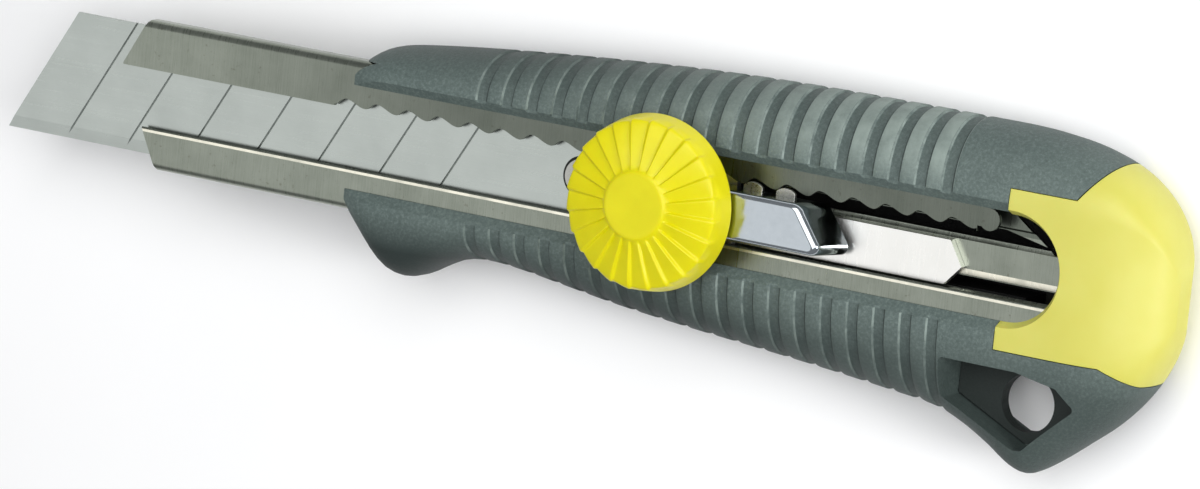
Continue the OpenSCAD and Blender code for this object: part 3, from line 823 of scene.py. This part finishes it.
def thumb_wheel():
    """Turned moulding whose front is fluted; the flutes notch its shoulder."""
    h = WHEEL_TOP - WHEEL_BOTTOM
    top_r = WHEEL_R - 0.45
    disc = 4.7
    # radius, level above the wheel's bottom, share of the flute's depth, and of its notch
    profile = [(0.0, h - 0.06, 0, 0), (1.2, h - 0.05, 0, 0), (2.6, h - 0.03, 0, 0),
               (disc - 0.7, h, 0, 0), (disc - 0.35, h - 0.02, 0, 0), (disc - 0.12, h - 0.09, 0, 0),
               (disc, h - 0.2, 0, 0), (disc + 0.12, h - 0.27, 0.1, 0), (disc + 0.4, h - 0.3, 0.6, 0),
               (disc + 0.8, h - 0.36, 0.9, 0), (6.4, 5.06, 1, 0), (7.6, 4.86, 1, 0), (8.8, 4.6, 1, 0),
               (9.8, 4.38, 1, 0), (10.5, 4.2, 0.95, 0.1), (10.9, 4.08, 0.8, 0.4),
               (top_r - 0.32, 3.96, 0.5, 0.9), (top_r - 0.12, 3.82, 0.25, 1), (top_r, 3.6, 0.05, 1),
               (top_r + 0.04, 3.25, 0, 0.9), (top_r + 0.08, 2.9, 0, 0.45), (top_r + 0.12, 2.6, 0, 0.12),
               (top_r + 0.17, 2.2, 0, 0), (top_r + 0.28, 1.3, 0, 0), (WHEEL_R - 0.03, 0.55, 0, 0),
               (WHEEL_R, 0.35, 0, 0), (WHEEL_R - 0.07, 0.14, 0, 0), (WHEEL_R - 0.22, 0.03, 0, 0),
               (WHEEL_R - 0.45, 0, 0, 0), (10.4, 0, 0, 0), (10.2, 0.05, 0, 0), (10.1, 0.2, 0, 0),
               (9.8, 1.8, 0, 0), (9.6, 2.0, 0, 0), (6.4, 2.4, 0, 0), (6.1, 2.2, 0, 0), (6.0, 0.3, 0, 0),
               (5.9, 0.1, 0, 0), (5.7, 0, 0, 0), (4.5, 0, 0, 0), (4.32, 0.05, 0, 0), (4.25, 0.2, 0, 0),
               (4.25, 3.45, 0, 0), (3.3, 3.5, 0, 0), (3.3, h - 0.75, 0, 0), (1.0, h - 0.7, 0, 0),
               (0.0, h - 0.7, 0, 0)]
    around = FLUTES * 18
    depth, notch = 0.42, 0.3        # of the flutes, and of the notches in the shoulder
    points, faces = [], []
    for r, z, share, bite in profile[1:-1]:
        for k in range(around):
            turn = 2 * math.pi * k / around
            s = saw(FLUTES * k / around)
            radius = r - notch * bite * (1 - s)
            points.append((WHEEL_U + radius * math.cos(turn),
                           WHEEL_V + radius * math.sin(turn),
                           WHEEL_BOTTOM + z + depth * share * (s - 0.75)))
    rows = len(profile) - 2
    for i in range(rows - 1):
        for k in range(around):
            j = (k + 1) % around
            faces.append((i * around + k, (i + 1) * around + k,
                          (i + 1) * around + j, i * around + j))
    for row, (r, z, _, _) in ((0, profile[0]), (rows - 1, profile[-1])):
        centre = len(points)
        points.append((WHEEL_U, WHEEL_V, WHEEL_BOTTOM + z))
        for k in range(around):
            j = (k + 1) % around
            pair = (row * around + k, row * around + j)
            faces.append((centre, *(pair if row == 0 else pair[::-1])))
    obj = make("wheel", points, faces)
    outward(obj.data)
    return finish_piece(obj, "thumb_wheel_moulding", WHEEL, "wheel", "thumb_wheel",
                        60)


def deck_outline(inset, z):
    """Plan of the lock plate at level z, moved in by inset. Its tail is slanted in
    plan and leans out towards its foot."""
    r, r_tail, lean = 1.2, 2.0, 2.3 * (DECK_TOP - z) / (DECK_TOP - BLADE_TOP)
    corners = [(101.5 + r, 5.3 + r, r, 180, 270), (132.8 + lean, 5.3 + r, r, 270, 387),
               (129.4 + lean, 11.85 - r_tail, r_tail, 27, 90), (101.5 + r, 11.85 - r, r, 90, 180)]
    return [(*p, z) for u, v, radius, a, b in corners
            for p in circle(u, v, max(radius - inset, 0.05), 10, a, b)]


def lock_plate():
    """Pressed and plated cover: a rolled top edge and a thin wall."""
    roll, wall = 0.75, 0.8
    rings = [(DECK_BOTTOM, 0.1), (DECK_BOTTOM + 0.12, 0.0), (DECK_BOTTOM + 0.6, 0.0),
             (DECK_TOP - roll - 0.5, 0.0)]
    rings += [(DECK_TOP - roll + roll * math.sin(a), roll - roll * math.cos(a))
              for a in np.linspace(0, math.pi / 2, 8)]
    obj = loft("deck", [deck_outline(g, z) for z, g in rings])
    hollow = loft("cutter", [deck_outline(wall, z) for z in (DECK_BOTTOM - 1, DECK_TOP - wall)])
    stud_r, tooth_half, teeth_v = 2.06, 1.55, (9.85, 12.85)
    steps = [("DIFFERENCE", hollow),
             ("DIFFERENCE", rod(WHEEL_U, WHEEL_V, [(0, stud_r), (40, stud_r)]))]
    teeth_z = lowest("lock_comb").z - 0.05, highest("lock_comb").z + 0.05
    for u in (121.7, 126.7):
        window = rect(u - tooth_half, u + tooth_half, *teeth_v)
        steps.append(("DIFFERENCE", prism(window, *teeth_z)))
    shape(obj, *steps)
    soften(obj, 0.06, 50)
    return finish_piece(obj, "lock_plate_pressed", CHROME, "lock", "lock_plate",
                        40)


# ---------------------------------------------------------------- CAD nodes that stay
def dress(node, material, width):
    """Gives a CAD node its material and small rounded corners, width millimetres wide."""
    obj = frame["nodes"][node]
    obj.data.materials.clear()
    obj.data.materials.append(material)
    obj.data.polygons.foreach_set("material_index", [0] * len(obj.data.polygons))
    weld = obj.modifiers.new("weld", "WELD")
    weld.merge_threshold = 0.001 * MM
    bevel = obj.modifiers.new("corners", "BEVEL")
    bevel.width, bevel.segments = width * MM, 2
    bevel.limit_method, bevel.angle_limit = "ANGLE", math.radians(35)
    bevel.harden_normals = True


# ---------------------------------------------------------------- stage
def camera():
    """A long lens above the tail side, turned a little about its own axis."""
    look_at = Vector((90 + TIP_X, 8 + EDGE_Y, BLADE_TOP)) * MM
    azimuth, elevation, roll = (math.radians(x) for x in (29.911, 9.971, -5.775))
    right = Vector((math.cos(azimuth), 0, -math.sin(azimuth)))
    up = Vector((-math.sin(azimuth) * math.sin(elevation), math.cos(elevation),
                 -math.cos(azimuth) * math.sin(elevation)))
    back = right.cross(up)
    side, rise, away = -7.099 * MM, 8.429 * MM, 1.0
    data = bpy.data.cameras.new("camera")
    data.sensor_width, data.sensor_fit, data.lens = 36.0, "HORIZONTAL", 221.487
    data.clip_start, data.clip_end = 0.05, 20.0
    obj = bpy.data.objects.new("camera", data)
    bpy.context.scene.collection.objects.link(obj)
    x = math.cos(roll) * right - math.sin(roll) * up
    y = math.sin(roll) * right + math.cos(roll) * up
    turn = Matrix((x, y, back)).transposed().to_4x4()
    place = look_at - side * right - rise * up + away * back
    obj.matrix_world = Matrix.Translation(place) @ turn
    bpy.context.scene.camera = obj


def softbox(name, place, size, power):
    """An area light aimed at the knife."""
    data = bpy.data.lights.new(name, "AREA")
    data.shape, data.size, data.size_y = "RECTANGLE", *size
    data.energy = power
    obj = bpy.data.objects.new(name, data)
    bpy.context.scene.collection.objects.link(obj)
    obj.location = place
    aim = Vector((-0.02, 0, 0.01)) - obj.location
    obj.rotation_euler = aim.to_track_quat("-Z", "Y").to_euler()


def stage():
    """Nearly white paper, an even pale surround and three softboxes."""
    n = Nodes("floor_paper")
    tone = n.ramp(n.noise(0.02, 3), (0.3, (0.93,) * 3), (0.7, (0.95,) * 3))
    n.set(Base_Color=tone, Roughness=0.9, Specular_IOR_Level=0.1)
    mesh = bpy.data.meshes.new("floor")
    half = 4.0
    mesh.from_pydata([(-half, -half, 0), (half, -half, 0), (half, half, 0), (-half, half, 0)],
                     [], [(0, 1, 2, 3)])
    floor = bpy.data.objects.new("floor", mesh)
    floor.data.materials.append(n.material)
    bpy.context.scene.collection.objects.link(floor)
    floor.location.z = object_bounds()[0].z - 0.0002
    floor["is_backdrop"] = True

    sky = bpy.data.worlds.new("surround")
    bpy.context.scene.world = sky
    sky.use_nodes = True
    glow = sky.node_tree.nodes["Background"].inputs
    glow["Color"].default_value = (0.95, 0.97, 1.0, 1.0)
    glow["Strength"].default_value = 0.3
    softbox("overhead", (0.22, 0.2, 0.6), (0.7, 0.6), 4.2)
    softbox("mirror", (-0.4, -0.16, 0.66), (0.5, 0.5), 0.68)
    softbox("raking", (0.6, 0.02, 0.26), (0.15, 0.2), 1.9)
    bpy.context.scene.view_settings.view_transform = "Standard"


GRIP, CAP, WHEEL = grip_plastic(), cap_plastic(), wheel_plastic()
RAIL = brushed("rail_steel", "#767C71", "#9DA297", 0.3, (3.0, 0.1, 0.4), specks=0.4,
               painted_light=rail_painted_light)
BLADE = brushed("blade_steel", "#A9AFAA", "#BDC3BE", 0.3, (0.05, 1.2, 1.0), 0.003,
                painted_light=blade_painted_shade)
CARRIER = brushed("carrier_steel", "#ECEBE6", "#F8F7F3", 0.3, (2.5, 0.1, 1.0), 0.004)
PIN = brushed("pin_steel", "#9A9A94", "#BDBDB6", 0.28, (1.5, 1.5, 0.1))
CHROME = brushed("plated_steel", "#ABB2B7", "#BAC1C6", 0.12, (0.6, 0.6, 0.6), 0.004)
SPRING = brushed("spring_steel", "#5E6266", "#80858A", 0.35, (0.4, 3.0, 0.4))
SCREW = brushed("screw_steel", "#7E7E78", "#A3A39C", 0.38, (2.0, 2.0, 0.5))
BRASS = brushed("brass", "#B89B4E", "#D9C079", 0.32, (0.6, 0.6, 3.0))

front_grip(True)
front_grip(False)
rear_shell()
end_cap()
blade_rail()
thumb_wheel()
lock_plate()
for node, material, width in (
        ("handle_screws", SCREW, 0.06), ("blade", BLADE, 0.02),
        ("blade_carrier", CARRIER, 0.1), ("blade_peg", PIN, 0.12),
        ("clamp_stud", PIN, 0.1), ("lock_comb", PIN, 0.08),
        ("lock_spring", SPRING, 0.05), ("thrust_washer", BRASS, 0.06),
        ("wheel_nut", BRASS, 0.1), ("retaining_clip", SPRING, 0.06)):
    dress(node, material, width)
camera()
stage()
